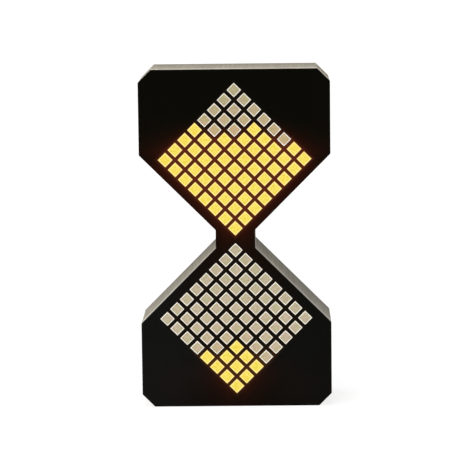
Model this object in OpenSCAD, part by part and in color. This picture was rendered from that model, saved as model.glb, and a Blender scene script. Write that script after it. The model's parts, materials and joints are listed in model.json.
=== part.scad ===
// Digital hourglass timer: a metal hourglass shell with a black face of square pixel tiles.
// X runs to the right of the face, Y runs to the back and Z runs up from the foot.

/* [Body] */
// Width across each lobe
lobe_w = 82; // [79:0.5:92]
// Overall height
body_h = 146; // [144:0.5:160]
// Overall depth, from the face to the rear rim
body_d = 37; // [36:0.5:46]
// Length of the 45 degree cut at each outer corner, along each side
corner_cut = 5.4; // [4:0.1:8]
// Width of the waist
neck_w = 17; // [16.5:0.5:22]
// Height of the straight part of the waist
neck_h = 8; // [6:0.5:10]
// Wall of the metal housing
housing_wall = 2.4; // [2:0.1:2.8]

/* [Display] */
// Distance between pixel centres
led_pitch = 6; // [5.4:0.05:6.1]
// Side of one pixel tile
tile_w = 4.55; // [3.8:0.05:5]
// Gap round each tile in its window
window_clear = 0.05; // [0.03:0.01:0.15]
// Depth of a tile's front below the face
tile_recess = 0.1; // [0.05:0.05:0.4]
// Gap between the tips of the two fields
field_gap = 1; // [0.6:0.1:2]
// Least distance from the tips of a field to the edge of the body
field_margin = 4; // [3:0.1:5]
// Thickness of the black front panel
panel_t = 2; // [1.5:0.1:3]
// Thickness of the panel's adhesive tape
tape_t = 0.3; // [0.15:0.05:0.5]
// Distance from the outer edge to the tape
tape_inset = 0.6; // [0.4:0.1:1]
// Thickness of the sheet that joins the tiles
web_t = 0.8; // [0.6:0.1:1.2]
// Wall between two light cells
baffle_wall = 0.8; // [0.5:0.1:1.2]
// Thickness of the carrier frame
carrier_t = 4.5; // [4.2:0.1:6]
// Gap round each field in the carrier frame
field_clear = 0.2; // [0.1:0.05:0.4]
// Width of one light emitting diode
led_w = 2.8; // [2:0.1:3.2]
// Length of one light emitting diode
led_l = 3.5; // [2.4:0.1:3.8]
// Height of one light emitting diode
led_t = 1.9; // [0.8:0.1:2.2]

/* [Boards] */
// Thickness of both circuit boards
pcb_t = 1.6; // [1:0.2:2]
// Rim of the display board past the field
led_board_margin = 2; // [1.4:0.1:2.6]
// Gap from a board to the housing
board_clear = 0.3; // [0.2:0.05:0.6]
// Radius of the board's screw ears
ear_r = 3.2; // [2.8:0.1:3.6]
// Distance from a field opening to an ear's screw
ear_inset = 2.6; // [2:0.1:3]
// Distance of the two waist screws from the middle
neck_screw_x = 3.4; // [3.2:0.1:3.7]
// Length of a display driver chip
driver_l = 15.4; // [10:0.2:18]
// Width of a display driver chip
driver_w = 7.5; // [5:0.1:9]
// Height of a display driver chip
driver_t = 2.3; // [1.2:0.1:3]
// Width of the control board
control_w = 52; // [50:0.5:56]
// Height of the control board
control_h = 34; // [33:0.5:36]
// Gap between the control board and the end wall of the housing
control_gap = 5.6; // [4.6:0.1:6.6]
// Length of the posts that carry the control board
post_h = 8; // [7:0.25:9]
// Radius of a post
post_r = 2.8; // [2.4:0.1:3.2]
// Distance from the control board's edges to a post
post_inset = 3.2; // [2.8:0.1:4]
// Side of the controller chip
controller_w = 7; // [5:0.5:10]
// Height of the controller chip
controller_t = 1.4; // [1:0.1:2]
// Side of the motion sensor chip
sensor_w = 3; // [2:0.5:5]
// Height of the motion sensor chip
sensor_t = 1; // [0.7:0.1:1.5]
// Length of the voltage regulator
regulator_l = 6.5; // [4:0.5:8]
// Width of the voltage regulator
regulator_w = 3.5; // [2.5:0.5:5]
// Height of the voltage regulator
regulator_t = 1.8; // [1:0.1:2.4]
// Diameter of the smoothing capacitor
capacitor_d = 6.3; // [4:0.1:8]
// Length of the smoothing capacitor
capacitor_l = 7; // [5:0.5:9]
// Length of a ribbon socket
socket_l = 15; // [14:0.5:18]
// Width of a ribbon socket
socket_w = 5; // [4:0.5:6]
// Height of a ribbon socket
socket_h = 4.5; // [3.5:0.25:5]
// Width of the ribbon cable
ribbon_w = 12.7; // [10:0.1:13.5]
// Thickness of the ribbon cable
ribbon_t = 0.9; // [0.6:0.1:1.2]
// Distance of the ribbon from the middle
ribbon_x = 10; // [9:0.5:12]
// Diameter of the buzzer
buzzer_d = 12; // [9:0.5:13]
// Radius of the sound port in the buzzer
buzzer_port_r = 1; // [0.5:0.1:2]
// Gap between the buzzer and the back cover
buzzer_gap = 0.5; // [0.3:0.1:0.9]

/* [Back cover] */
// Thickness of the back cover
cover_t = 3; // [2.6:0.1:3.4]
// Depth of the cover below the rear rim
cover_recess = 0.5; // [0.45:0.05:1]
// Gap round the cover in the housing
cover_clear = 0.15; // [0.1:0.05:0.3]
// Radius of a sound hole
sound_hole_r = 0.7; // [0.5:0.05:0.9]
// Distance between the rings of sound holes
sound_ring = 2.4; // [2.2:0.1:2.6]

/* [Screws] */
// Radius of the case screws
case_screw_r = 1.25; // [1:0.05:1.4]
// Head radius of the case screws
case_head_r = 2.4; // [2.1:0.05:2.6]
// Length of the case screws, head included
case_screw_l = 8; // [7.5:0.5:12]
// Gap round a screw in its hole
screw_clear = 0.05; // [0.02:0.01:0.1]
// Radius of a screw channel in the housing
channel_r = 3.2; // [2.9:0.1:3.5]
// Distance from the housing's inner wall to a channel's axis
channel_reach = 2.4; // [2:0.1:2.7]
// Distance from the start of a lobe's side to the channel beside it
channel_rise = 4.5; // [3.5:0.1:6]
// Radius of the board screws
board_screw_r = 0.9; // [0.7:0.05:1]
// Head radius of the board screws
board_head_r = 1.7; // [1.5:0.05:1.9]
// Head height of the board screws
board_head_t = 1.3; // [1:0.1:1.6]
// Bite of the board screws
board_screw_bite = 3.4; // [2.5:0.1:3.8]
// Width of a cross slot
cross_w = 0.7; // [0.5:0.05:0.8]
// Depth of a cross slot
cross_depth = 0.7; // [0.4:0.05:0.9]

/* [Buttons] */
// Radius of a button's cap
button_r = 4.5; // [3.5:0.1:5]
// Distance of the buttons from the middle
button_x = 15; // [14:0.5:16]
// Height of the buttons above the control board's middle
button_rise = 4; // [2:0.5:6]
// How far a button stands proud of the cover
button_proud = 0.4; // [0.2:0.05:0.45]
// Travel of a button
button_travel = 0.5; // [0.3:0.05:0.7]
// Gap round a button in the cover
button_clear = 0.15; // [0.1:0.05:0.25]
// Width of the flange round a button
button_lip = 1.1; // [0.8:0.1:1.4]
// Thickness of a button's flange
button_lip_t = 1; // [0.8:0.1:1.2]
// Gap between a button's flange and the cover
button_gap = 0.15; // [0.1:0.05:0.3]
// Radius of a button's stem
stem_r = 2; // [1.5:0.1:2.4]
// Radius of the hollow on a button's face
dish_r = 3.4; // [2.5:0.1:3.5]
// Depth of the hollow on a button's face
dish_depth = 0.3; // [0.15:0.05:0.4]
// Side of a push switch
switch_w = 6; // [5:0.5:7]
// Height of a push switch
switch_h = 3.5; // [3:0.1:3.8]
// Radius of a push switch's plunger
plunger_r = 1.75; // [1.2:0.05:2]
// How far a plunger stands out of its switch
plunger_proud = 1.5; // [1.2:0.1:1.7]
// Length of the plunger inside the switch
plunger_bite = 1.2; // [0.8:0.1:1.4]
// Gap round a plunger
plunger_clear = 0.1; // [0.06:0.02:0.2]

/* [Power switch] */
// Length of the sliding knob
knob_l = 6; // [5:0.5:8]
// Width of the sliding knob
knob_w = 4; // [3.5:0.1:5]
// Travel of the knob
knob_travel = 3; // [2:0.25:4]
// Gap round the knob in its slot
knob_clear = 0.2; // [0.15:0.05:0.3]
// Lap of the knob's flange past the slot
knob_lap = 1; // [0.8:0.1:1.4]
// Thickness of the knob's flange
knob_lip_t = 0.8; // [0.6:0.1:1]
// Height of the grip grooves on the knob
groove_depth = 0.3; // [0.2:0.05:0.4]
// Distance of the power switch below the control board's middle
power_drop = 9; // [8:0.5:9.5]
// Length of the power switch's body
power_l = 8.6; // [8:0.2:12]
// Width of the power switch's body
power_w = 4.4; // [4:0.1:6]
// Height of the power switch's body
power_h = 4; // [3.5:0.1:4.5]
// Side of the power switch's lever
lever_w = 1.8; // [1.4:0.1:2.2]
// Length of the lever inside the switch
lever_bite = 0.9; // [0.6:0.1:1.2]
// Gap round the lever
lever_clear = 0.2; // [0.1:0.05:0.3]

/* [Battery] */
// Diameter of a cell
cell_d = 10.5; // [9.5:0.1:10.5]
// Length of a cell, nub included
cell_l = 44.5; // [42:0.5:45]
// Length of a cell's nub
nub_l = 0.8; // [0.5:0.1:1.2]
// Radius of a cell's nub
nub_r = 1.9; // [1.5:0.1:2.5]
// Gap between two cells
cell_gap = 0.2; // [0.1:0.1:0.3]
// Gap round the cells in the bay
cell_clear = 0.2; // [0.1:0.05:0.3]
// Gap between the cells and the door
door_cell_gap = 0.5; // [0.3:0.1:0.9]
// Room for a contact at each end of a cell
contact_room = 2.2; // [1.6:0.1:2.4]
// Thickness of the contact plates
plate_t = 0.4; // [0.3:0.05:0.5]
// Width of the contact plates
plate_w = 8; // [6:0.5:9]
// Wall of the battery bay
bay_wall = 1.5; // [1.2:0.1:1.8]
// Distance from the cover's lower edge to the door
door_margin = 3; // [2.6:0.1:3.4]
// Lap of the door over the bay's rim
door_lap = 1.5; // [1.2:0.1:1.7]
// Thickness of the door
door_t = 1.6; // [1.4:0.1:1.8]
// Gap round the door
door_clear = 0.25; // [0.2:0.05:0.35]
// Gap between the hinge barrel and the bay
barrel_rise = 0.4; // [0.3:0.1:0.8]
// Radius of the hinge pins
pin_r = 0.9; // [0.7:0.05:1]
// Length of a hinge pin
pin_l = 1.5; // [1.2:0.1:1.7]
// Gap round a hinge pin
pin_clear = 0.05; // [0.03:0.01:0.08]
// Thickness of a hinge bearing
bearing_t = 2; // [1.8:0.1:2.2]
// Wall of a hinge bearing round its pin
bearing_wall = 1; // [0.8:0.1:1.2]
// Radius of the finger scoop below the door
scoop_r = 7; // [5:0.5:9]
// Depth of the finger scoop
scoop_depth = 1.3; // [0.8:0.1:1.5]
// Reach of the finger scoop below the door
scoop_reach = 2.2; // [1.5:0.1:2.4]
// Height of the grip ribs on the door
rib_proud = 0.3; // [0.2:0.05:0.4]
// Diameter of the battery leads
lead_d = 1.4; // [1:0.1:1.6]

/* [Hidden] */
$fn = 64;

// Halves of the face
half_w = lobe_w / 2;
half_h = body_h / 2;
neck_half = neck_w / 2;
diagonal = sqrt(2);

// Heights of the battery bay and door, from the cover's lower edge up
cell_count = 3;
cell_r = cell_d / 2;
cell_pitch = cell_d + cell_gap;
bay_w = cell_l + 2 * contact_room;
bay_h = (cell_count - 1) * cell_pitch + cell_d + 2 * cell_clear;
door_bottom = -half_h + housing_wall + cover_clear + door_margin;
bay_bottom = door_bottom + door_lap;
bay_top = bay_bottom + bay_h;
bay_z = (bay_bottom + bay_top) / 2;
door_w = bay_w + 2 * door_lap;
barrel_r = door_t;
hinge_z = bay_top + barrel_rise + barrel_r;
bearing_reach = pin_r + pin_clear + bearing_wall;
bearing_x = door_w / 2 + door_clear + bearing_t;

// Slopes at 45 degrees, or flatter where the hinge bearings need the width
bearing_room = [bearing_x - neck_half, -hinge_z - bearing_reach - neck_h / 2];
bearing_a = acos((housing_wall + cover_clear) / norm(bearing_room)) - atan2(bearing_room.x, bearing_room.y);
slope_a = min(45, bearing_a);
slope_z = neck_h / 2 + (half_w - neck_half) * tan(slope_a);

// Fields of pixels, with as many on a side as the lobes have room for
tip_room = min((half_h - field_margin - field_gap / 2) / 2, half_w - field_margin);
led_count = floor(tip_room * diagonal / led_pitch);
field_w = led_count * led_pitch;
opening_w = field_w + 2 * field_clear;
field_z = field_w / diagonal + field_gap / 2;
window_w = tile_w + 2 * window_clear;
cell_hole_w = led_pitch - baffle_wall;
led_board_w = field_w + 2 * led_board_margin;

// Depths behind the face
carrier_front = panel_t + tape_t;
carrier_back = carrier_front + carrier_t;
web_back = panel_t + web_t;
display_board_back = carrier_back + pcb_t;
cover_back = body_d - cover_recess;
cover_seat = cover_back - cover_t;
control_back = cover_seat - post_h;
control_front = control_back - pcb_t;
button_lip_back = cover_seat - button_gap;
button_lip_front = button_lip_back - button_lip_t;
switch_top = control_back + switch_h;
plunger_top = switch_top + plunger_proud;
knob_lip_back = cover_seat - button_gap;
knob_lip_front = knob_lip_back - knob_lip_t;
power_top = control_back + power_h;

// Height of the control board's middle
control_z = half_h - housing_wall - control_gap - control_h / 2;

// Screw places
ear_reach = (opening_w / 2 + ear_inset) / diagonal;
corner_step = corner_cut / 2 + (housing_wall + channel_reach) / diagonal;
channel_points = [
    for (sx = [-1, 1], sz = [-1, 1])
        each [
            [sx * (half_w - corner_step), sz * (half_h - corner_step)],
            [sx * (half_w - housing_wall - channel_reach), sz * (slope_z + channel_rise)]
        ]
];
board_screw_points = [
    for (s = [-1, 1])
        each [
            [s * neck_screw_x, 0],
            [s * ear_reach, field_z + ear_reach],
            [s * ear_reach, -field_z - ear_reach]
        ]
];
post_points = [
    for (sx = [-1, 1], sz = [-1, 1])
        [sx * (control_w / 2 - post_inset), control_z + sz * (control_h / 2 - post_inset)]
];
pilot_r = board_screw_r + screw_clear;
case_hole_r = case_screw_r + screw_clear;
hole_spare = 0.4;
cross_span = 1.3;

// Chip legs
leg_t = 0.4;
leg_reach = 0.6;
leg_share = 0.4;
driver_legs = 12;
controller_legs = 8;
sensor_legs = 4;
regulator_legs = 3;

// Controls
button_z = control_z + button_rise;
power_z = control_z - power_drop;
buzzer_z = control_z + control_h / 2 - buzzer_d / 2 - post_inset;
buzzer_port_depth = 1;
slot_l = knob_l + knob_travel + 2 * knob_clear;
slot_w = knob_w + 2 * knob_clear;
knob_rest_x = -knob_travel / 2;
dish_sphere_r = (dish_r * dish_r + dish_depth * dish_depth) / (2 * dish_depth);
groove_w = knob_l / 10;
groove_step = knob_l / 4;

// Depths and small parts of the battery bay and door
hinge_y = cover_back - barrel_r;
cell_y = cover_back - door_t - door_cell_gap - cell_r;
bay_floor_back = cell_y - cell_r - cell_clear;
bay_floor_front = bay_floor_back - bay_wall;
rib_gap = 2;
rib_t = 0.8;
rib_l = 14;
tab_out = 1.8;
tab_w = 2.4;
tab_t = 0.5;
tab_clear = 0.1;
tab_x = bay_w / 2 + bay_wall + tab_out;
bump_edge = 0.8;
bump_base = plate_w / 2 - bump_edge;
bump_tip = 1.2;

// Ribbon, an S bend between its two sockets
socket_rise = 4;
ribbon_low_z = field_z + socket_rise;
ribbon_high_z = control_z + socket_rise;
ribbon_start = display_board_back + socket_h;
ribbon_end = control_front - socket_h;
ribbon_bend = (ribbon_end - ribbon_start) / 2;
ribbon_arc_steps = 10;

// Leads from the battery contacts to the control board
lead_pad_x = 8;
lead_pad_inset = 5;
lead_pad_z = control_z - control_h / 2 + lead_pad_inset;
lead_x = bay_w / 2 + bay_wall + tab_out / 2;
lead_wall_gap = 2.5;
lead_turn = 3;
lead_slope_z = -14;
lead_waist_x = 3.5;
lead_waist_z = 5;
lead_lobe_x = 5;
lead_lobe_z = 16;
lead_sides = 8;
lead_steps = 3;

// Points of a lead: up the side of the bay, along the slope, through the waist and up to the board
function lead_route(s, row) =
    let (start = row_z(row) + tab_t / 2, corner = bay_top + lead_turn)
    concat(
        [for (i = [0:lead_steps]) [s * lead_x, cell_y, start + (corner - start) * i / lead_steps]],
        [
            [s * slope_x(bay_top + 3 * lead_turn), cell_y - lead_turn, bay_top + 3 * lead_turn],
            [s * slope_x(lead_slope_z), cell_y - lead_turn, lead_slope_z],
            [s * lead_waist_x, cell_y - lead_turn, -lead_waist_z],
            [s * lead_waist_x, control_front, lead_waist_z],
            [s * lead_lobe_x, control_front - lead_turn, lead_lobe_z],
            [s * lead_pad_x, control_front - 2 * lead_turn, lead_pad_z - 3 * lead_turn],
            [s * lead_pad_x, control_front - 2 * lead_turn, lead_pad_z - lead_turn],
            [s * lead_pad_x, control_front - lead_turn, lead_pad_z],
            [s * lead_pad_x, control_front, lead_pad_z]
        ]
    );

// Distance from the middle to a lead that follows the lower slope, at the height z
function slope_x(z) =
    neck_half + ((-z - neck_h / 2) * cos(slope_a) - housing_wall - lead_wall_gap) / sin(slope_a);

// Outline of the face, drawn in by k on every side
function outline(k) =
    let (
        c = k * (diagonal - 1),
        s = k * (1 - sin(slope_a)) / cos(slope_a),
        corner = [
            [half_w - corner_cut - c, half_h - k],
            [half_w - k, half_h - corner_cut - c],
            [half_w - k, slope_z + s],
            [neck_half - k, neck_h / 2 + s]
        ],
        right = concat(corner, [for (i = [3:-1:0]) [corner[i].x, -corner[i].y]])
    )
    concat(right, [for (i = [7:-1:0]) [-right[i].x, right[i].y]]);

// Centre of a pixel, from the centre of its field
function pixel(i, j) = [(i - j) * led_pitch / diagonal, (i + j - led_count + 1) * led_pitch / diagonal];

// Height of a row of cells, counted from the lowest
function row_z(row) = bay_z + (row - (cell_count - 1) / 2) * cell_pitch;

// Moves a child from face coordinates to the foot of the object
module placed() {
    translate([0, -body_d / 2, half_h]) children();
}

// Extrudes a drawing of the face from one depth to another
module slab(from, to) {
    translate([0, to, 0]) rotate([90, 0, 0]) linear_extrude(to - from) children();
}

// Round bar along the depth
module rod(at, from, to, r) {
    translate([at.x, from, at.y]) rotate([-90, 0, 0]) cylinder(h = to - from, r = r);
}

// Round bar across the width
module bar(x0, x1, y, z, r) {
    translate([x0, y, z]) rotate([0, 90, 0]) cylinder(h = x1 - x0, r = r);
}

// Rectangle on the face, centred at a point
module plate(at, size) {
    translate(at) square(size, center = true);
}

// Square field turned on its corner, above the waist for s = 1 and below it for s = -1
module field(s, w) {
    translate([0, s * field_z]) rotate(45) square(w, center = true);
}

// One rectangle at each pixel of a field
module pixels(s, size) {
    for (i = [0:led_count - 1], j = [0:led_count - 1])
        translate([0, s * field_z] + pixel(i, j)) rotate(45) square(size, center = true);
}

// Countersunk cone with its wide end at the depth y, narrowing along dir
module countersink(at, y, dir, wide_r, narrow_r) {
    translate([at.x, y, at.y]) rotate([dir > 0 ? -90 : 90, 0, 0])
        cylinder(h = wide_r - narrow_r, r1 = wide_r, r2 = narrow_r);
}

// Cross slot cut into a screw head at the depth y, going along dir
module cross_slot(at, y, dir, head_r) {
    for (turn = [0, 90])
        slab(min(y, y + dir * cross_depth), max(y, y + dir * cross_depth))
            translate(at) rotate(turn) square([cross_span * head_r, cross_w], center = true);
}

// Case screw with its flat head at the depth y
module case_screw(at, y, dir) {
    tip = y + dir * case_screw_l;
    difference() {
        union() {
            countersink(at, y, dir, case_head_r, case_screw_r);
            rod(at, min(y, tip), max(y, tip), case_screw_r);
        }
        cross_slot(at, y, dir, case_head_r);
    }
}

// Hole for a case screw from the depth y through to the depth end
module case_hole(at, y, dir, end) {
    countersink(at, y, dir, case_head_r + screw_clear, case_hole_r);
    rod(at, min(y, end), max(y, end), case_hole_r);
}

// Board screw: round head on the depth y, shank biting past the board along dir
module board_screw(at, y, dir) {
    head = y - dir * board_head_t;
    tip = y + dir * (pcb_t + board_screw_bite);
    difference() {
        union() {
            rod(at, min(y, head), max(y, head), board_head_r);
            rod(at, min(y, tip), max(y, tip), board_screw_r);
        }
        cross_slot(at, head, dir, board_head_r);
    }
}

// Chip with a row of legs on two sides, standing on the depth y along dir
module chip(at, y, dir, size, legs) {
    top = y + dir * size.z;
    leg_top = y + dir * leg_t;
    leg_step = size.x / legs;
    slab(min(y, top), max(y, top)) plate(at, [size.x, size.y]);
    for (i = [0:legs - 1])
        slab(min(y, leg_top), max(y, leg_top))
            plate(at + [(i + 0.5 - legs / 2) * leg_step, 0], [leg_step * leg_share, size.y + 2 * leg_reach]);
}

// Cubic curve through four points
function curve(a, b, c, d, t) =
    0.5 * (2 * b + (c - a) * t + (2 * a - 5 * b + 4 * c - d) * t * t + (3 * b - a - 3 * c + d) * t * t * t);

function unit(v) = v / norm(v);

// Points along a route, with a fixed count of steps between two of its points
function smooth(route) =
    let (last = len(route) - 1)
    concat(
        [
            for (i = [0:last - 1], k = [0:lead_steps - 1])
                curve(
                    route[max(i - 1, 0)], route[i], route[i + 1], route[min(i + 2, last)], k / lead_steps
                )
        ],
        [route[last]]
    );

// Round tube swept along a route; its ends are square to the given directions
module lead(route, start_dir, end_dir, side) {
    path = smooth(route);
    last = len(path) - 1;
    rings = [
        for (i = [0:last])
            let (
                way = i == 0 ? start_dir : i == last ? end_dir : unit(path[i + 1] - path[i - 1]),
                across = unit(cross(way, side)),
                up = cross(across, way)
            )
            for (k = [0:lead_sides - 1])
                path[i] + lead_d / 2 * (cos(360 * k / lead_sides) * across + sin(360 * k / lead_sides) * up)
    ];
    walls = [
        for (i = [0:last - 1], k = [0:lead_sides - 1])
            let (a = i * lead_sides + k, b = i * lead_sides + (k + 1) % lead_sides)
            [a, b, b + lead_sides, a + lead_sides]
    ];
    start_cap = [[for (k = [lead_sides - 1:-1:0]) k]];
    end_cap = [[for (k = [0:lead_sides - 1]) last * lead_sides + k]];
    polyhedron(rings, concat(walls, start_cap, end_cap), convexity = 6);
}

// Face

module front_panel() {
    color("#0d0b0a") placed() slab(0, panel_t) difference() {
        polygon(outline(0));
        pixels(1, window_w);
        pixels(-1, window_w);
    }
}

module panel_tape() {
    color("#303030") placed() slab(panel_t, carrier_front) difference() {
        polygon(outline(tape_inset));
        field(1, opening_w);
        field(-1, opening_w);
    }
}

module pixel_tiles(s) {
    slab(tile_recess, panel_t) pixels(s, tile_w);
    slab(panel_t, web_back) field(s, field_w);
}

module upper_pixel_tiles() {
    color("#f4df61") placed() pixel_tiles(1);
}

module lower_pixel_tiles() {
    color("#beb298") placed() pixel_tiles(-1);
}

module light_baffle(s) {
    slab(web_back, carrier_back) difference() {
        field(s, field_w);
        pixels(s, cell_hole_w);
    }
}

module upper_light_baffle() {
    color("white") placed() light_baffle(1);
}

module lower_light_baffle() {
    color("white") placed() light_baffle(-1);
}

module carrier_frame() {
    color("#c9c4b8") placed() difference() {
        slab(carrier_front, carrier_back) difference() {
            polygon(outline(0));
            field(1, opening_w);
            field(-1, opening_w);
        }
        for (p = channel_points)
            case_hole(p, carrier_front, 1, carrier_back);
        for (p = board_screw_points)
            rod(p, carrier_back - board_screw_bite - hole_spare, carrier_back, pilot_r);
    }
}

module carrier_screws() {
    color("silver") placed() for (p = channel_points)
        case_screw(p, carrier_front, 1);
}

module display_board() {
    color("#1d4a2c") placed() slab(carrier_back, display_board_back) difference() {
        intersection() {
            union() {
                field(1, led_board_w);
                field(-1, led_board_w);
                for (p = board_screw_points)
                    translate(p) circle(ear_r);
            }
            polygon(outline(housing_wall + board_clear));
        }
        for (p = channel_points)
            translate(p) circle(channel_r + board_clear);
        for (p = board_screw_points)
            translate(p) circle(pilot_r);
    }
}

module display_board_screws() {
    color("silver") placed() for (p = board_screw_points)
        board_screw(p, display_board_back, -1);
}

module leds(s) {
    slab(carrier_back - led_t, carrier_back) pixels(s, [led_w, led_l]);
}

module upper_leds() {
    color("#f2ead2") placed() leds(1);
}

module lower_leds() {
    color("#f2ead2") placed() leds(-1);
}

module upper_led_driver() {
    color("#202020") placed()
        chip([0, field_z - driver_w], display_board_back, 1, [driver_l, driver_w, driver_t], driver_legs);
}

module lower_led_driver() {
    color("#202020") placed()
        chip([0, -field_z], display_board_back, 1, [driver_l, driver_w, driver_t], driver_legs);
}

module display_socket() {
    color("#e8e4d8") placed() slab(display_board_back, ribbon_start)
        plate([ribbon_x, ribbon_low_z], [socket_l, socket_w]);
}

// Points of a quarter turn about a centre, in depth and height
function quarter(centre, r, from, to) =
    [
        for (i = [0:ribbon_arc_steps])
            let (a = from + (to - from) * i / ribbon_arc_steps)
            centre + r * [cos(a), sin(a)]
    ];

// One edge of the ribbon seen from the side, t to the right of its middle line
function ribbon_edge(t) =
    concat(
        quarter([ribbon_start, ribbon_low_z + ribbon_bend], ribbon_bend + t, -90, 0),
        quarter([ribbon_end, ribbon_high_z - ribbon_bend], ribbon_bend - t, 180, 90)
    );

module ribbon_cable() {
    left = ribbon_edge(-ribbon_t / 2);
    right = ribbon_edge(ribbon_t / 2);
    color("#b9b9b4") placed() translate([ribbon_x - ribbon_w / 2, 0, 0]) rotate([90, 0, 90])
        linear_extrude(ribbon_w) polygon(concat(right, [for (i = [len(left) - 1:-1:0]) left[i]]));
}

module control_socket() {
    color("#e8e4d8") placed() slab(ribbon_end, control_front)
        plate([ribbon_x, ribbon_high_z], [socket_l, socket_w]);
}

// Shell

module housing() {
    color("#a59f93") placed() {
        slab(carrier_back, cover_seat) difference() {
            union() {
                difference() {
                    polygon(outline(0));
                    polygon(outline(housing_wall));
                }
                for (p = channel_points)
                    translate(p) circle(channel_r);
            }
            for (p = channel_points)
                translate(p) circle(case_hole_r);
        }
        slab(cover_seat, body_d) difference() {
            polygon(outline(0));
            polygon(outline(housing_wall));
        }
    }
}

// Drawing of every hole through the back cover
module cover_holes() {
    plate([0, (bay_bottom + hinge_z + barrel_r + door_clear) / 2],
        [bay_w, hinge_z + barrel_r + door_clear - bay_bottom]);
    for (sx = [-1, 1])
        translate([sx * button_x, button_z]) circle(button_r + button_clear);
    plate([0, power_z], [slot_l, slot_w]);
    translate([0, buzzer_z]) circle(sound_hole_r);
    for (ring = [1, 2], i = [0:6 * ring - 1])
        translate([0, buzzer_z] + ring * sound_ring * [cos(60 * i / ring), sin(60 * i / ring)])
            circle(sound_hole_r);
}

// Room that the door and its barrel need in the cover
module door_room() {
    edge = door_w + 2 * door_clear;
    low = door_bottom - door_clear;
    slab(hinge_y - door_clear, body_d)
        plate([0, (low + hinge_z) / 2], [edge, hinge_z - low]);
    slab(hinge_y - barrel_r - door_clear, body_d)
        plate([0, hinge_z], [edge, 2 * (barrel_r + door_clear)]);
}

module battery_bay() {
    difference() {
        slab(bay_floor_front, cover_seat) plate([0, bay_z], [bay_w + 2 * bay_wall, bay_h + 2 * bay_wall]);
        slab(bay_floor_back, cover_seat) plate([0, bay_z], [bay_w, bay_h]);
        for (end = [[-1, cell_count - 1], [1, 0]])
            translate([end[0] * (bay_w + bay_wall) / 2, cell_y, row_z(end[1])])
                cube([2 * bay_wall, tab_w + 2 * tab_clear, tab_t + 2 * tab_clear], center = true);
    }
}

module hinge_bearings() {
    difference() {
        slab(hinge_y - bearing_reach, cover_back) intersection() {
            for (sx = [-1, 1])
                plate([sx * (bearing_x - bearing_t / 2), hinge_z], [bearing_t, 2 * bearing_reach]);
            polygon(outline(housing_wall + cover_clear));
        }
        bar(-half_w, half_w, hinge_y, hinge_z, pin_r + pin_clear);
    }
}

module back_cover() {
    color("#2b2a28") placed() {
        difference() {
            union() {
                slab(cover_seat, cover_back) difference() {
                    polygon(outline(housing_wall + cover_clear));
                    cover_holes();
                }
                battery_bay();
            }
            for (p = channel_points)
                case_hole(p, cover_back, -1, cover_seat);
            door_room();
            slab(cover_back - scoop_depth, cover_back)
                translate([0, door_bottom - scoop_reach + scoop_r]) circle(scoop_r);
            bar(-half_w, half_w, hinge_y, hinge_z, pin_r + pin_clear);
        }
        hinge_bearings();
        difference() {
            for (p = post_points)
                rod(p, control_back, cover_seat, post_r);
            for (p = post_points)
                rod(p, control_back, control_back + board_screw_bite + hole_spare, pilot_r);
        }
    }
}

module back_screws() {
    color("#6a6a68") placed() for (p = channel_points)
        case_screw(p, cover_back, -1);
}

// Electronics on the back cover

module control_board() {
    color("#1d4a2c") placed() slab(control_front, control_back) difference() {
        plate([0, control_z], [control_w, control_h]);
        for (p = post_points)
            translate(p) circle(pilot_r);
    }
}

module control_board_screws() {
    color("silver") placed() for (p = post_points)
        board_screw(p, control_front, 1);
}

module controller_chip() {
    color("#202020") placed()
        chip(
            [-controller_w / 2, ribbon_high_z], control_front, -1,
            [controller_w, controller_w, controller_t], controller_legs
        );
}

module motion_sensor() {
    color("#202020") placed()
        chip(
            [-button_x, control_z - sensor_w], control_front, -1,
            [sensor_w, sensor_w, sensor_t], sensor_legs
        );
}

module voltage_regulator() {
    color("#202020") placed()
        chip(
            [-button_x, control_z + regulator_w], control_front, -1,
            [regulator_l, regulator_w, regulator_t], regulator_legs
        );
}

module smoothing_capacitor() {
    color("#26323f") placed()
        rod([-button_x, power_z], control_front - capacitor_l, control_front, capacitor_d / 2);
}

module buzzer() {
    at = [0, buzzer_z];
    top = cover_seat - buzzer_gap;
    color("#171717") placed() difference() {
        rod(at, control_back, top, buzzer_d / 2);
        rod(at, top - buzzer_port_depth, top, buzzer_port_r);
    }
}

// Buttons

module push_switch(sx) {
    at = [sx * button_x, button_z];
    bore_end = switch_top - plunger_bite - button_travel - hole_spare;
    color("#3a3a3a") placed() difference() {
        slab(control_back, switch_top) plate(at, [switch_w, switch_w]);
        rod(at, bore_end, switch_top, plunger_r + plunger_clear);
    }
}

module plunger(sx) {
    color("#111111") placed()
        rod([sx * button_x, button_z], switch_top - plunger_bite, plunger_top, plunger_r);
}

module button_cap(sx) {
    at = [sx * button_x, button_z];
    face = cover_back + button_proud;
    color("#8e8a82") placed() difference() {
        union() {
            rod(at, button_lip_front, face, button_r);
            rod(at, button_lip_front, button_lip_back, button_r + button_lip);
            rod(at, plunger_top, button_lip_front, stem_r);
        }
        translate([at.x, face - dish_depth + dish_sphere_r, at.y]) sphere(dish_sphere_r);
    }
}

module mode_switch() {
    push_switch(-1);
}

module mode_plunger() {
    plunger(-1);
}

module mode_button() {
    button_cap(-1);
}

module time_switch() {
    push_switch(1);
}

module time_plunger() {
    plunger(1);
}

module time_button() {
    button_cap(1);
}

// Power switch

module power_switch() {
    color("#b8bab8") placed() difference() {
        slab(control_back, power_top) plate([0, power_z], [power_l, power_w]);
        slab(power_top - lever_bite - lever_clear, power_top)
            plate([0, power_z], [knob_travel + lever_w + 2 * lever_clear, lever_w + 2 * lever_clear]);
    }
}

module power_lever() {
    color("#111111") placed() slab(power_top - lever_bite, knob_lip_front)
        plate([knob_rest_x, power_z], [lever_w, lever_w]);
}

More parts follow.
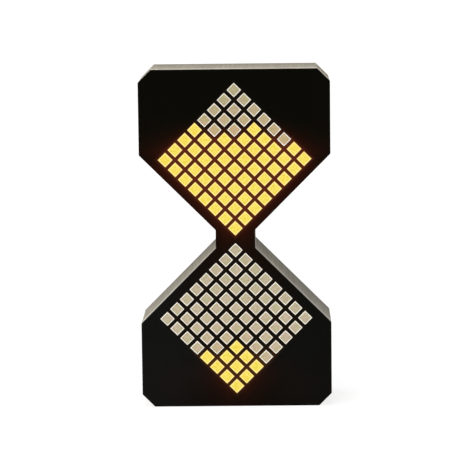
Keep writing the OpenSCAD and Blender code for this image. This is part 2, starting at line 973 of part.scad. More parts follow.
module power_knob() {
    at = [knob_rest_x, power_z];
    face = cover_back + button_proud;
    color("#8e8a82") placed() difference() {
        union() {
            slab(knob_lip_front, knob_lip_back)
                plate(at, [slot_l + knob_travel + 2 * knob_lap, slot_w + 2 * knob_lap]);
            slab(knob_lip_back, face) plate(at, [knob_l, knob_w]);
        }
        for (i = [-1:1])
            slab(face - groove_depth, face) plate(at + [i * groove_step, 0], [groove_w, knob_w]);
    }
}

// Battery

module battery_door() {
    end = door_w / 2 + door_clear + pin_l;
    color("#2b2a28") placed() {
        slab(hinge_y, cover_back)
            plate([0, (door_bottom + hinge_z) / 2], [door_w, hinge_z - door_bottom]);
        bar(-door_w / 2, door_w / 2, hinge_y, hinge_z, barrel_r);
        bar(-end, end, hinge_y, hinge_z, pin_r);
        for (i = [1:3])
            slab(cover_back, cover_back + rib_proud)
                plate([0, door_bottom + rib_gap * (i + 0.5)], [rib_l, rib_t]);
    }
}

module battery_cell(row) {
    s = row % 2 == 0 ? 1 : -1;
    can_l = cell_l - nub_l;
    color("#b07a3c") placed() translate([0, cell_y, row_z(row)]) mirror([s > 0 ? 0 : 1, 0, 0]) {
        bar(-cell_l / 2, can_l - cell_l / 2, 0, 0, cell_r);
        bar(can_l - cell_l / 2, cell_l / 2, 0, 0, nub_r);
    }
}

module battery_cell_top() {
    battery_cell(cell_count - 1);
}

module battery_cell_middle() {
    battery_cell(floor((cell_count - 1) / 2));
}

module battery_cell_bottom() {
    battery_cell(0);
}

// Sprung bump from a contact plate to the end of a cell, seen along the depth
module contact_bump() {
    height = contact_room - plate_t;
    half = [
        [height, bump_tip + plate_t / 2], [0, bump_base],
        [0, bump_base - plate_t], [height - plate_t, bump_tip]
    ];
    polygon(concat(half, [for (i = [3:-1:0]) [half[i].x, -half[i].y]]));
}

// Contacts at one end of the bay: one plate joins two rows and one stands alone with a tab
module battery_contacts(s, joined_low, alone) {
    wall_x = s * bay_w / 2;
    joined_z = (row_z(joined_low) + row_z(joined_low + 1)) / 2;
    color("#c8b56a") placed() {
        translate([wall_x - s * plate_t / 2, cell_y, joined_z])
            cube([plate_t, plate_w, cell_pitch + plate_w], center = true);
        translate([wall_x - s * plate_t / 2, cell_y, row_z(alone)])
            cube([plate_t, plate_w, plate_w], center = true);
        translate([s * (bay_w / 2 + tab_x) / 2, cell_y, row_z(alone)])
            cube([tab_x - bay_w / 2, tab_w, tab_t], center = true);
        for (row = [0:cell_count - 1])
            slab(cell_y - tab_w / 2, cell_y + tab_w / 2)
                translate([wall_x - s * plate_t, row_z(row)]) mirror([s > 0 ? 1 : 0, 0]) contact_bump();
    }
}

module left_battery_contacts() {
    battery_contacts(-1, 0, cell_count - 1);
}

module right_battery_contacts() {
    battery_contacts(1, cell_count - 2, 0);
}

module red_battery_lead() {
    color("#a8201a") placed() lead(lead_route(-1, cell_count - 1), [0, 0, 1], [0, 1, 0], unit([1, -1, -1]));
}

module black_battery_lead() {
    color("#151515") placed() lead(lead_route(1, 0), [0, 0, 1], [0, 1, 0], unit([-1, -1, -1]));
}

front_panel();
panel_tape();
upper_pixel_tiles();
lower_pixel_tiles();
upper_light_baffle();
lower_light_baffle();
carrier_frame();
carrier_screws();
display_board();
display_board_screws();
upper_leds();
lower_leds();
upper_led_driver();
lower_led_driver();
display_socket();
ribbon_cable();
control_socket();
housing();
back_cover();
back_screws();
control_board();
control_board_screws();
controller_chip();
motion_sensor();
voltage_regulator();
smoothing_capacitor();
buzzer();
mode_switch();
mode_plunger();
mode_button();
time_switch();
time_plunger();
time_button();
power_switch();
power_lever();
power_knob();
battery_door();
battery_cell_top();
battery_cell_middle();
battery_cell_bottom();
left_battery_contacts();
right_battery_contacts();
red_battery_lead();
black_battery_lead();
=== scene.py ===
# Looks of the digital hourglass timer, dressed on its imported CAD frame, in metres, with the front facing -Y.
import json
import math
import random

import bmesh
import bpy
from mathutils import Matrix, Vector


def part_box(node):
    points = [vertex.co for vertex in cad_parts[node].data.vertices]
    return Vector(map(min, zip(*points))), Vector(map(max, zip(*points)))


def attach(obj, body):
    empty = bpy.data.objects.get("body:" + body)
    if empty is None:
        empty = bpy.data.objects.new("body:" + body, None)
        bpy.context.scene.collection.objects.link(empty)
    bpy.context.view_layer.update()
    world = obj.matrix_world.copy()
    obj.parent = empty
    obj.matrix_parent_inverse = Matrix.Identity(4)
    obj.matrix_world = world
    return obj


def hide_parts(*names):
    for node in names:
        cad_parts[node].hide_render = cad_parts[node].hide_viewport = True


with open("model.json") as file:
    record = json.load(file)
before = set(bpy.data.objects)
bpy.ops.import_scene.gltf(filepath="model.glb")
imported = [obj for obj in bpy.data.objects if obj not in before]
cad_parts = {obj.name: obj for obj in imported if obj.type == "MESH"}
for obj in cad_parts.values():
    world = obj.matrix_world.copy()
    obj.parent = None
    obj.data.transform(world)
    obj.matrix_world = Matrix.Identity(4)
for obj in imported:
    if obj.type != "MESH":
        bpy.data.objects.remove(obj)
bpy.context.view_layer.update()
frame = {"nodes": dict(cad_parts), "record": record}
bodies = frame["record"]["behaviour"]["bodies"]
body_of_node = {node: body for body, members in bodies.items() for node in members}

MM = 0.001
black = (0.0, 0.0, 0.0, 1.0)
white = (1.0, 1.0, 1.0, 1.0)

# Camera at the photograph's viewing angle
camera_place = Vector((14.4, -1061.2, 217.4)) * MM
camera_target = Vector((-0.17, -18.5, 74.84)) * MM
camera_roll = math.radians(-0.635)
camera_lens = 187.8
camera_sensor = 36.0

# Studio: floor and sky shine dimly on the timer and look white to the camera; the floor keeps a faint shadow
floor_radius = 9.0
floor_sides = 96
floor_glow = 0.22
floor_white = 0.8
floor_shadow = 0.2
sky_glow = 0.31
sky_white = 1.0
# Each lamp: the way to it, its strength and its spread
lamps = {
    "key_light": (Vector((-0.44, -0.66, 0.55)), 1.45, math.radians(55)),
    "top_light": (Vector((-0.3, -0.1, 1.0)), 0.9, math.radians(50)),
    "overhead_light": (Vector((-0.04, 0.0, 1.0)), 1.5, math.radians(10)),
}

# Mesh work: straight and nearly_straight are shares of a face's normal along an axis
merge_gap = 1e-6
flat_angle = math.radians(0.5)
sharp_angle = math.radians(35)
straight = 0.99
nearly_straight = 0.9

# Places of the pixel fields and of the face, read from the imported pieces
upper_lo, upper_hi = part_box("upper_pixel_tiles")
lower_lo, lower_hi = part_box("lower_pixel_tiles")
field_reach = (upper_hi.x - upper_lo.x) / 2
upper_middle = (upper_lo.z + upper_hi.z) / 2
lower_middle = (lower_lo.z + lower_hi.z) / 2
waist_height = (upper_middle + lower_middle) / 2
tiles_a_side = 8
half_step = field_reach / tiles_a_side
tile_front = upper_lo.y
face_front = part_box("front_panel")[0].y

# Small forms of a tile, whose own look reaches back by its depth
tile_depth = 1.0 * MM
rim_width = 0.31 * MM
rim_round = 0.16 * MM
pane_step = 0.06 * MM
pane_sink = 0.05 * MM

# Tone of the unlit tiles from a field's top to its foot, and how far a tile strays from it by chance
upper_tones = (0.0, 0.2)
lower_tones = (0.35, 0.95)
tone_spread = 0.12
tone_seed = 7
random.seed(tone_seed)

# Light that an unlit tile takes from lit ones; the next tile is this many half steps away
next_tile = math.sqrt(2)
glow_fade = 1.5
glow_share = 0.13

# Light of the lit tiles on the face: soft borders beside the field's edge, bars that cross, and the halo
field_border = (1 * MM, -2 * MM)
light_border = (1.2 * MM, -2.4 * MM)
crossing_span = (0.5, 0.95)
halo_fade = 4.5 * MM
halo_reach = 60 * MM
halo_corner = 4 * MM
halo_corner_share = 0.4
halo_left, halo_right = 1.08, 0.92
# The light between the tiles and the halo grow from none to full between two heights over the field's middle
upper_light = {
    "lit_heights": (14.5 * MM, 6 * MM),
    "halo_heights": (20 * MM, 0.0),
    "strength": 1.0,
    "haze": 0.14,
}
lower_light = {
    "lit_heights": (-11 * MM, -20 * MM),
    "halo_heights": (-15 * MM, -31 * MM),
    "strength": 0.8,
    "haze": 0.09,
}

# Roundings and small forms; the rooms are borders that still count as the field or the ribs
field_room = 0.6 * MM
window_round = 0.1 * MM
outline_round = 0.3 * MM
shell_round = 0.4 * MM
door_round = 0.2 * MM
rib_round = 0.1 * MM
rib_room = 0.5 * MM
cap_round = 0.25 * MM
dish_depth = 0.5 * MM
dish_reach = 3.6 * MM
cell_round = 0.35 * MM
cell_lap = 0.6 * MM
cell_lap_step = 0.1 * MM
# Shares of a cell: where its band starts, what is its can, and which of its end faces are bare metal
cell_band = 0.28
can_share = 0.9
bare_share = 0.6
bare_slope = 0.3
# Rings of a key's dish from the rim inward: width and drop in mm
dish_rings = ((0.06, 0.1), (0.55, 0.075), (0.55, 0.06), (0.55, 0.045), (0.55, 0.03), (0.55, 0.015))

# Stretches of a noise that become a full change of colour, wear or gloss
soft_contrast = (0.2, 0.8)
clear_contrast = (0.3, 0.7)
line_contrast = (0.32, 0.68)
strong_contrast = (0.35, 0.65)


def paint(red, green, blue):
    """A colour given as screen values from 0 to 255, as the shader wants it."""
    shares = [value / 255 for value in (red, green, blue)]
    return tuple(s / 12.92 if s <= 0.04045 else ((s + 0.055) / 1.055) ** 2.4 for s in shares) + (1.0,)


def grey(value):
    return (value, value, value, 1.0)


# Node wiring
def plug(tree, socket, value):
    """Links another node's output to the socket, or sets a plain value on it."""
    if isinstance(value, bpy.types.NodeSocket):
        tree.links.new(value, socket)
    else:
        socket.default_value = value


def add(tree, kind, sockets=None, **settings):
    """A new node with its settings made and its sockets plugged."""
    item = tree.nodes.new("ShaderNode" + kind)
    for name, value in settings.items():
        setattr(item, name, value)
    for name, value in (sockets or {}).items():
        plug(tree, item.inputs[name], value)
    return item


def calc(tree, operation, first, second=0.0):
    return add(tree, "Math", {0: first, 1: second}, operation=operation).outputs[0]


def times(tree, first, *others):
    for other in others:
        first = calc(tree, "MULTIPLY", first, other)
    return first


def absolute(tree, value):
    return calc(tree, "ABSOLUTE", value)


def fade(tree, value, start, end, low=0.0, high=1.0):
    """Low before the start and high after the end, with a smooth change between them."""
    span = {"Value": value, "From Min": start, "From Max": end, "To Min": low, "To Max": high}
    return add(tree, "MapRange", span, interpolation_type="SMOOTHSTEP").outputs["Result"]


def mix(tree, share, first, second, blend="MIX"):
    return add(tree, "Mix", {0: share, 6: first, 7: second}, data_type="RGBA", blend_type=blend).outputs[2]


def tint(tree, share, first, second):
    """A mix of two colours given as screen values."""
    return mix(tree, share, paint(*first), paint(*second))


def overlay(tree, base, shade):
    """The base made lighter or darker by a shade that lies round mid grey."""
    return mix(tree, 1.0, base, shade, "OVERLAY")


def place(tree):
    return add(tree, "TexCoord").outputs["Object"]


def axes(tree):
    """X, Y and Z of a point in the shared frame."""
    return add(tree, "SeparateXYZ", {0: place(tree)}).outputs


def noise(tree, scale, detail=3.0, rough=0.55, where=None, distortion=0.0):
    sockets = {"Vector": where or place(tree), "Scale": scale, "Detail": detail, "Roughness": rough,
               "Distortion": distortion}
    return add(tree, "TexNoise", sockets).outputs[0]


def mark(tree, name):
    """A value that a piece's faces carry."""
    return add(tree, "Attribute", attribute_name=name).outputs["Fac"]


def effect(name, inputs, outputs):
    """An empty node group with plain number sockets."""
    group = bpy.data.node_groups.new(name, "ShaderNodeTree")
    for label, value in inputs.items():
        group.interface.new_socket(label, in_out="INPUT", socket_type="NodeSocketFloat").default_value = value
    for label in outputs:
        group.interface.new_socket(label, in_out="OUTPUT", socket_type="NodeSocketFloat")
    return group, group.nodes.new("NodeGroupInput").outputs, group.nodes.new("NodeGroupOutput").inputs


def use(tree, group, **inputs):
    return add(tree, "Group", inputs, node_tree=group).outputs


# Effects that several finishes share
def make_moulded_grain():
    """Fine grain, and its tone with slow clouds in it."""
    cloud_size, cloud_share = 0.02, 0.25
    group, given, result = effect("moulded_grain", {"Scale": 4000.0}, ["Height", "Tone"])
    fine = noise(group, given["Scale"], detail=4.0)
    cloud = noise(group, times(group, given["Scale"], cloud_size))
    plug(group, result["Height"], fine)
    tone = calc(group, "ADD", times(group, fine, 1 - cloud_share), times(group, cloud, cloud_share))
    plug(group, result["Tone"], tone)
    return group


def make_edge_wear():
    """Patchy wear on the faces that the rounding of an edge has made."""
    group, given, result = effect("edge_wear", {"Amount": 0.5, "Scale": 320.0}, ["Mask"])
    patches = fade(group, noise(group, given["Scale"], detail=4.0, rough=0.6), *soft_contrast)
    plug(group, result["Mask"], times(group, mark(group, "edge"), patches, given["Amount"]))
    return group


def make_hand_marks():
    """Smears left by handling."""
    group, given, result = effect("hand_marks", {"Scale": 45.0}, ["Smudge"])
    smears = noise(group, given["Scale"], detail=4.0, rough=0.6, distortion=1.2)
    plug(group, result["Smudge"], fade(group, smears, *clear_contrast))
    return group


def make_drawn_lines():
    """Lines that run from front to back, as on a drawn metal shell."""
    line_stretch, wide_share = (1.0, 0.03, 1.0), 0.6
    group, given, result = effect("drawn_lines", {"Scale": 1.0}, ["Tone", "Height"])
    stretched = add(group, "Mapping", {"Vector": place(group), "Scale": line_stretch}).outputs["Vector"]
    across = add(group, "VectorMath", {0: stretched, "Scale": given["Scale"]}, operation="SCALE").outputs[0]
    wide = noise(group, scale=900.0, detail=2.0, where=across)
    fine = noise(group, scale=4200.0, where=across)
    tone = calc(group, "ADD", times(group, wide, wide_share), times(group, fine, 1 - wide_share))
    plug(group, result["Tone"], tone)
    plug(group, result["Height"], fine)
    return group


moulded_grain = make_moulded_grain()
edge_wear = make_edge_wear()
hand_marks = make_hand_marks()
drawn_lines = make_drawn_lines()


# Finishes
def shader(name, metallic=0.0, specular=0.5):
    finish = bpy.data.materials.new(name)
    finish.use_nodes = True
    tree = finish.node_tree
    tree.nodes.clear()
    skin = add(tree, "BsdfPrincipled", {"Metallic": metallic, "Specular IOR Level": specular})
    add(tree, "OutputMaterial", {"Surface": skin.outputs["BSDF"]})
    return finish, tree, skin.inputs


def bumped(tree, height, depth, strength=0.6):
    return add(tree, "Bump", {"Height": height, "Distance": depth, "Strength": strength}).outputs["Normal"]


def plug_handled(tree, skin, base, worn, wear, rough):
    """Base colour with worn edges, and roughness with hand marks."""
    plug(tree, skin["Base Color"], mix(tree, use(tree, edge_wear, Amount=wear)["Mask"], base, paint(*worn)))
    plug(tree, skin["Roughness"], fade(tree, use(tree, hand_marks)["Smudge"], 0.0, 1.0, *rough))


def moulding(name, colour, shade, worn,
             rough=(0.45, 0.6), grain=4000.0, depth=0.02 * MM, wear=0.5, specular=0.5):
    """Moulded plastic in two tones, with paler edges."""
    finish, tree, skin = shader(name, specular=specular)
    surface = use(tree, moulded_grain, Scale=grain)
    base = tint(tree, fade(tree, surface["Tone"], *clear_contrast), shade, colour)
    plug_handled(tree, skin, base, worn, wear, rough)
    plug(tree, skin["Normal"], bumped(tree, surface["Height"], depth))
    return finish


def drawn_metal(name, colour, shade, worn,
                rough=(0.3, 0.45), lines=1.0, metallic=0.9, specular=0.5, rear_shade=None):
    """Metal with drawn lines and bright edges; a colour given for its back paints shade on it, darker towards
    the back.
    """
    wear, line_depth, line_strength = 0.6, 0.01 * MM, 0.4
    rear_grain, rear_shade_span, rear_shade_share = 2600.0, 26 * MM, 0.6
    finish, tree, skin = shader(name, metallic, specular)
    surface = use(tree, drawn_lines, Scale=lines)
    base = tint(tree, fade(tree, surface["Tone"], *line_contrast), shade, colour)
    if rear_shade:
        grain = fade(tree, use(tree, moulded_grain, Scale=rear_grain)["Tone"], *clear_contrast)
        base = mix(tree, mark(tree, "rear_rim"), base, tint(tree, grain, shade, colour))
        # Painted shade: the colour turns towards the given darker colour further back on the shell
        back = fade(tree, axes(tree)["Y"], -face_front - rear_shade_span, -face_front)
        base = mix(tree, times(tree, back, rear_shade_share), base, paint(*rear_shade))
    plug_handled(tree, skin, base, worn, wear, rough)
    plug(tree, skin["Normal"], bumped(tree, surface["Height"], line_depth, line_strength))
    return finish


def crossings(tree, sideways, up):
    """1 where two bars between the tiles cross."""
    bars = []
    for turn in ("ADD", "SUBTRACT"):
        along = times(tree, calc(tree, turn, sideways, up), math.pi / half_step)
        bars.append(fade(tree, calc(tree, "COSINE", along), *crossing_span))
    return times(tree, *bars)


def lit_zone(tree, middle, lit_heights, halo_heights, strength, haze):
    """Where a field lies, where light comes through between its tiles, its bars' crossings, and its halo."""
    parts = axes(tree)
    sideways = parts["X"]
    up = calc(tree, "SUBTRACT", parts["Z"], middle)
    reach = calc(tree, "ADD", absolute(tree, sideways), absolute(tree, up))
    field, light = (fade(tree, reach, field_reach + outer, field_reach + inner)
                    for outer, inner in (field_border, light_border))
    off_field = calc(tree, "MAXIMUM", calc(tree, "SUBTRACT", reach, field_reach), 0.0)
    near = calc(tree, "EXPONENT", times(tree, off_field, -1 / halo_fade))
    far = fade(tree, off_field, halo_reach, halo_fade, high=haze)
    off_axis = calc(tree, "MINIMUM", absolute(tree, sideways), absolute(tree, up))
    halo = times(
        tree, calc(tree, "ADD", near, far),
        fade(tree, off_axis, 0.0, halo_corner, low=halo_corner_share),
        fade(tree, up, *halo_heights, high=strength),
        fade(tree, sideways, -field_reach, field_reach, low=halo_left, high=halo_right))
    between = times(tree, light, fade(tree, up, *lit_heights))
    return {"field": field, "between": between, "crossings": crossings(tree, sideways, up), "halo": halo}


def black_acrylic(name):
    """Black face with a painted reflection that makes it a little paler below the waist and to the left, and
    with the light of the lit tiles in it.
    """
    deep_tones, reflected_tones = ((5, 5, 2), (9, 8, 4)), ((13, 13, 12), (17, 17, 16))
    bar_tone, halo_red = (20, 14, 7), (45, 10, 4)
    reflection_at_right, tip_share = 0.5, 0.8
    tip_sides, tip_heights = (32 * MM, 6 * MM), (lower_middle - 14 * MM, lower_middle - 30 * MM)
    finish, tree, skin = shader(name, specular=0.012)
    upper = lit_zone(tree, upper_middle, **upper_light)
    lower = lit_zone(tree, lower_middle, **lower_light)
    parts = axes(tree)
    # Painted reflection: the face is painted paler below the waist and towards the left, less so under the
    # lower field's tip
    below_waist = fade(tree, parts["Z"], waist_height, lower_middle)
    to_left = fade(tree, parts["X"], field_reach, -field_reach, low=reflection_at_right)
    under_tip = times(tree, fade(tree, absolute(tree, parts["X"]), *tip_sides),
                      fade(tree, parts["Z"], *tip_heights, high=tip_share))
    pale = times(tree, below_waist, to_left, calc(tree, "SUBTRACT", 1.0, under_tip))
    clouds = noise(tree, scale=60.0, detail=4.0)
    base = mix(tree, pale, tint(tree, clouds, *deep_tones), tint(tree, clouds, *reflected_tones))
    fields = calc(tree, "MAXIMUM", upper["field"], lower["field"])
    base = mix(tree, fields, base, paint(*bar_tone))
    plug_handled(tree, skin, base, worn=(34, 31, 27), wear=0.6, rough=(0.26, 0.36))
    ripple = noise(tree, scale=700.0, detail=2.0)
    plug(tree, skin["Normal"], bumped(tree, ripple, depth=0.004 * MM, strength=0.3))

    def shine(zone, other_zone, bar_light, crossing_light):
        halo = times(tree, zone["halo"], calc(tree, "SUBTRACT", 1.0, other_zone["field"]))
        bars = tint(tree, zone["crossings"], bar_light, crossing_light)
        return mix(tree, zone["between"], mix(tree, halo, black, paint(*halo_red)), bars)

    upper_shine = shine(upper, lower, bar_light=(84, 35, 7), crossing_light=(90, 26, 27))
    lower_shine = shine(lower, upper, bar_light=(64, 35, 4), crossing_light=(60, 24, 18))
    plug(tree, skin["Emission Color"], mix(tree, 1.0, upper_shine, lower_shine, "LIGHTEN"))
    skin["Emission Strength"].default_value = 1.0
    return finish


def tile_plastic(name):
    """Diffusing tiles: beige where unlit, amber where lit, with a pale rim round each sunk pane; unlit tiles
    near lit ones take a painted glow, and the rounded edges a painted shade.
    """
    pane_tones, painted_glow_tone, painted_glow_share = ((160, 152, 116), (179, 166, 141)), (184, 153, 109), 0.7
    speckle_shades = (0.44, 0.44, 0.42, 1.0), (0.56, 0.56, 0.58, 1.0)
    mottle_shades = (0.47, 0.51, 0.45, 1.0), (0.53, 0.49, 0.55, 1.0)
    unlit_rim, unlit_edge_shade = (250, 246, 236), (72, 65, 55)
    amber_tones = (120, 96, 20), (128, 108, 30)
    light_tones, orange_light = ((202, 185, 24), (223, 211, 110)), (222, 188, 70)
    orange_span, orange_share = (0.45, 0.7), 0.5
    lit_rim, lit_edge_shade = (246, 232, 160), (214, 177, 97)
    finish, tree, skin = shader(name, specular=0.3)
    lit, rim, tone, painted_glow, edge = (mark(tree, word) for word in ("lit", "rim", "tone", "painted_glow", "edge"))
    speckle = noise(tree, scale=1300.0, rough=0.7)
    mottle = noise(tree, scale=620.0, detail=2.0, rough=0.6)
    spots = fade(tree, speckle, *strong_contrast)
    pane = tint(tree, tone, *pane_tones)
    # Painted glow: unlit tiles near lit ones are painted warmer, standing for the light they take from the lit
    # tiles
    pane = mix(tree, times(tree, painted_glow, painted_glow_share), pane, paint(*painted_glow_tone))
    pane = overlay(tree, pane, mix(tree, spots, *speckle_shades))
    pane = overlay(tree, pane, mix(tree, fade(tree, mottle, *strong_contrast), *mottle_shades))
    unlit = mix(tree, rim, pane, paint(*unlit_rim))
    # Painted shade: the rounded edges of unlit tiles are painted dark, as shade in the gap between tile and
    # window
    unlit = mix(tree, edge, unlit, paint(*unlit_edge_shade))
    amber = tint(tree, fade(tree, speckle, *clear_contrast), *amber_tones)
    plug(tree, skin["Base Color"], mix(tree, lit, unlit, amber))
    plug(tree, skin["Roughness"], fade(tree, speckle, *soft_contrast, low=0.42, high=0.58))
    grain = noise(tree, scale=5000.0)
    plug(tree, skin["Normal"], bumped(tree, grain, depth=0.01 * MM, strength=0.4))
    shine = tint(tree, spots, *light_tones)
    orange = times(tree, fade(tree, mottle, *orange_span), orange_share)
    shine = mix(tree, orange, shine, paint(*orange_light))
    shine = mix(tree, rim, shine, paint(*lit_rim))
    # Painted shade: the rounded edges of lit tiles are painted dimmer
    shine = mix(tree, edge, shine, paint(*lit_edge_shade))
    plug(tree, skin["Emission Color"], mix(tree, lit, black, shine))
    skin["Emission Strength"].default_value = 1.0
    return finish


def board_mask(name):
    """Green solder mask with copper lines under it and tinned dots."""
    mask_green, line_green, dark_green, tin = (16, 70, 42), (30, 96, 58), (14, 62, 40), (200, 198, 190)
    dot_edge, tin_share = (0.2, 0.16), 0.9
    finish, tree, skin = shader(name)
    bricks = {"Vector": place(tree), "Scale": 420.0, "Mortar Size": 0.06}
    lines = add(tree, "TexBrick", bricks, offset=0.37).outputs["Fac"]
    cells = {"Vector": place(tree), "Scale": 330.0, "Randomness": 0.35}
    tinned = fade(tree, add(tree, "TexVoronoi", cells).outputs["Distance"], *dot_edge)
    base = tint(tree, lines, mask_green, line_green)
    base = mix(tree, noise(tree, scale=90.0), base, paint(*dark_green))
    plug(tree, skin["Base Color"], mix(tree, tinned, base, paint(*tin)))
    plug(tree, skin["Metallic"], times(tree, tinned, tin_share))
    gloss = noise(tree, scale=300.0)
    plug(tree, skin["Roughness"], fade(tree, gloss, *soft_contrast, low=0.28, high=0.4))
    plug(tree, skin["Normal"], bumped(tree, tinned, depth=0.03 * MM))
    return finish


def ribbon_sheath(name):
    """Grey flat cable with a ridge over each wire, and painted shade in the grooves between the wires."""
    groove_shade_grey, ridge_grey, stain_grey = (112, 112, 110), (160, 160, 157), (146, 144, 138)
    wire_step, stain_span = 1.27 * MM, (0.4, 0.7)
    finish, tree, skin = shader(name, specular=0.4)
    ridge = absolute(tree, calc(tree, "SINE", times(tree, axes(tree)["X"], math.pi / wire_step)))
    base = tint(tree, ridge, groove_shade_grey, ridge_grey)
    stain = fade(tree, noise(tree, scale=120.0), *stain_span)
    plug(tree, skin["Base Color"], mix(tree, stain, base, paint(*stain_grey)))
    gloss = noise(tree, scale=200.0)
    plug(tree, skin["Roughness"], fade(tree, gloss, *soft_contrast, low=0.45, high=0.6))
    plug(tree, skin["Normal"], bumped(tree, ridge, depth=0.2 * MM))
    return finish


def sleeved_cell(name):
    """A plain slate sleeve with a bronze band at the plus end, and bare metal ends."""
    slate_tones, bronze_tones = ((52, 66, 78), (60, 76, 90)), ((186, 150, 98), (204, 168, 114))
    bare_metal = (205, 203, 196)
    finish, tree, skin = shader(name)
    slate = tint(tree, noise(tree, scale=80.0), *slate_tones)
    bronze = tint(tree, noise(tree, scale=200.0), *bronze_tones)
    sleeve = mix(tree, mark(tree, "band"), slate, bronze)
    bare = mark(tree, "bare")
    plug(tree, skin["Base Color"], mix(tree, bare, sleeve, paint(*bare_metal)))
    plug(tree, skin["Metallic"], bare)
    gloss = noise(tree, scale=260.0)
    plug(tree, skin["Roughness"], fade(tree, gloss, *soft_contrast, low=0.24, high=0.38))
    plug(tree, skin["Normal"], bumped(tree, noise(tree, scale=500.0), depth=0.01 * MM))
    return finish


# The finish of each slot; a moulding or drawn metal names its colour, its shade and its worn edges in turn
tiles = tile_plastic("pixel_tile_plastic")
finishes = {
    "black_face": black_acrylic("black_face_acrylic"),
    "lit_tiles": tiles,
    "unlit_tiles": tiles,
    "black_tape": moulding(
        "black_foam_tape", (20, 19, 18), (9, 9, 9), (30, 30, 30),
        rough=(0.75, 0.9), grain=2600.0, depth=0.08 * MM),
    "white_moulding": moulding(
        "white_baffle_moulding", (236, 234, 228), (222, 219, 210), (245, 244, 240), rough=(0.5, 0.62)),
    # Pale band round the face: its pale colour is partly its own and partly a painted highlight along the
    # front edge
    "pale_grey_moulding": moulding(
        "pale_band_highlight_moulding", (206, 200, 187), (192, 185, 171), (222, 217, 206),
        rough=(0.5, 0.6), grain=3000.0, specular=0.15),
    "zinc_screws": drawn_metal(
        "zinc_screw_plating", (190, 192, 190), (160, 162, 160), (225, 225, 222),
        rough=(0.24, 0.4), lines=2.0),
    "circuit_board": board_mask("green_board_mask"),
    "led_package": moulding(
        "white_led_package", (240, 236, 220), (226, 214, 170), (248, 246, 240),
        rough=(0.3, 0.45), grain=1500.0),
    "chip_black": moulding(
        "black_chip_moulding", (30, 30, 31), (20, 20, 21), (62, 62, 62), rough=(0.55, 0.7), grain=5200.0),
    "ivory_socket": moulding(
        "ivory_socket_moulding", (226, 216, 190), (212, 200, 172), (238, 232, 214), rough=(0.4, 0.52)),
    "ribbon_grey": ribbon_sheath("grey_ribbon_sheath"),
    # The shell's darker colour for its back is painted shade
    "satin_metal": drawn_metal(
        "satin_shell_metal", (169, 162, 147), (145, 138, 123), (200, 194, 180),
        rough=(0.5, 0.6), metallic=0.2, specular=0.12, rear_shade=(124, 118, 106)),
    "charcoal_moulding": moulding(
        "charcoal_cover_moulding", (58, 57, 55), (45, 44, 43), (98, 96, 92),
        rough=(0.5, 0.64), grain=5200.0, depth=0.03 * MM),
    "dark_screws": drawn_metal(
        "dark_screw_oxide", (58, 56, 54), (36, 35, 34), (128, 124, 118), rough=(0.32, 0.46), lines=2.0),
    "capacitor_can": drawn_metal(
        "capacitor_can_sleeve", (70, 76, 96), (48, 52, 70), (190, 192, 194), rough=(0.3, 0.42), metallic=0.3),
    "switch_case": moulding(
        "switch_case_moulding", (64, 62, 58), (46, 45, 43), (120, 118, 112), rough=(0.4, 0.55)),
    "grey_button": moulding(
        "grey_button_moulding", (148, 144, 136), (139, 135, 127), (184, 180, 172),
        rough=(0.38, 0.5), grain=5200.0),
    "cell_sleeve": sleeved_cell("slate_cell_sleeve"),
    "spring_contact": drawn_metal(
        "nickel_spring_plating", (204, 200, 188), (172, 168, 156), (232, 230, 222),
        rough=(0.2, 0.34), lines=1.6),
    "red_wire": moulding(
        "red_wire_sheath", (178, 36, 30), (150, 28, 24), (200, 70, 60), rough=(0.38, 0.5), grain=1800.0),
    "black_wire": moulding(
        "black_wire_sheath", (28, 28, 28), (18, 18, 18), (60, 60, 60), rough=(0.38, 0.5), grain=1800.0),
}


# Shaping
def put_in_scene(name, data):
    item = bpy.data.objects.new(name, data)
    bpy.context.scene.collection.objects.link(item)
    return item


def joined_copy(node):
    """A CAD node's mesh with its loose triangles joined into whole faces."""
    shape = bmesh.new()
    shape.from_mesh(frame["nodes"][node].data)
    bmesh.ops.remove_doubles(shape, verts=shape.verts, dist=merge_gap)
    bmesh.ops.dissolve_limit(shape, angle_limit=flat_angle, verts=shape.verts, edges=shape.edges)
    return shape


def sharp_edges(shape, wanted=None):
    return [edge for edge in shape.edges if edge.is_manifold and edge.calc_face_angle() > sharp_angle
            and (wanted is None or wanted(edge))]


def round_edges(shape, edges, width, steps=2):
    """Rounds the edges and marks the new faces, which show wear, and on the pixel tiles a painted shade."""
    layer = shape.faces.layers.float.get("edge") or shape.faces.layers.float.new("edge")
    made = bmesh.ops.bevel(shape, geom=edges, offset=width, offset_type="OFFSET", segments=steps, profile=0.5,
                           affect="EDGES", clamp_overlap=True, material=-1)
    for face in made["faces"]:
        face[layer] = 1.0


def hand_in(shape, name, node):
    """Turns the shape into a piece that stands for the node, moves with its body and takes its slot."""
    slot = frame["nodes"][node].material_slots[0].material.name
    mesh = bpy.data.meshes.new(name)
    shape.to_mesh(mesh)
    shape.free()
    mesh.materials.clear()
    mesh.materials.append(finishes[slot])
    for face in mesh.polygons:
        face.use_smooth = True
        face.material_index = 0
    mesh.set_sharp_from_angle(angle=sharp_angle)
    piece = put_in_scene(name, mesh)
    even = piece.modifiers.new("even_shading", "WEIGHTED_NORMAL")
    even.keep_sharp = True
    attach(piece, body_of_node[node])
    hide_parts(node)


# Front panel: the outline and each window get their own rounding
def in_field(point):
    return any(abs(point.x) + abs(point.z - middle) < field_reach + field_room
               for middle in (upper_middle, lower_middle))


def is_window_edge(edge):
    return all(abs(v.co.y - face_front) < merge_gap and in_field(v.co) for v in edge.verts)


def make_front_face():
    shape = joined_copy("front_panel")
    round_edges(shape, sharp_edges(shape, is_window_edge), window_round)
    outline = sharp_edges(shape, lambda edge: not any(in_field(v.co) for v in edge.verts))
    round_edges(shape, outline, outline_round, steps=3)
    hand_in(shape, "front_face", "front_panel")


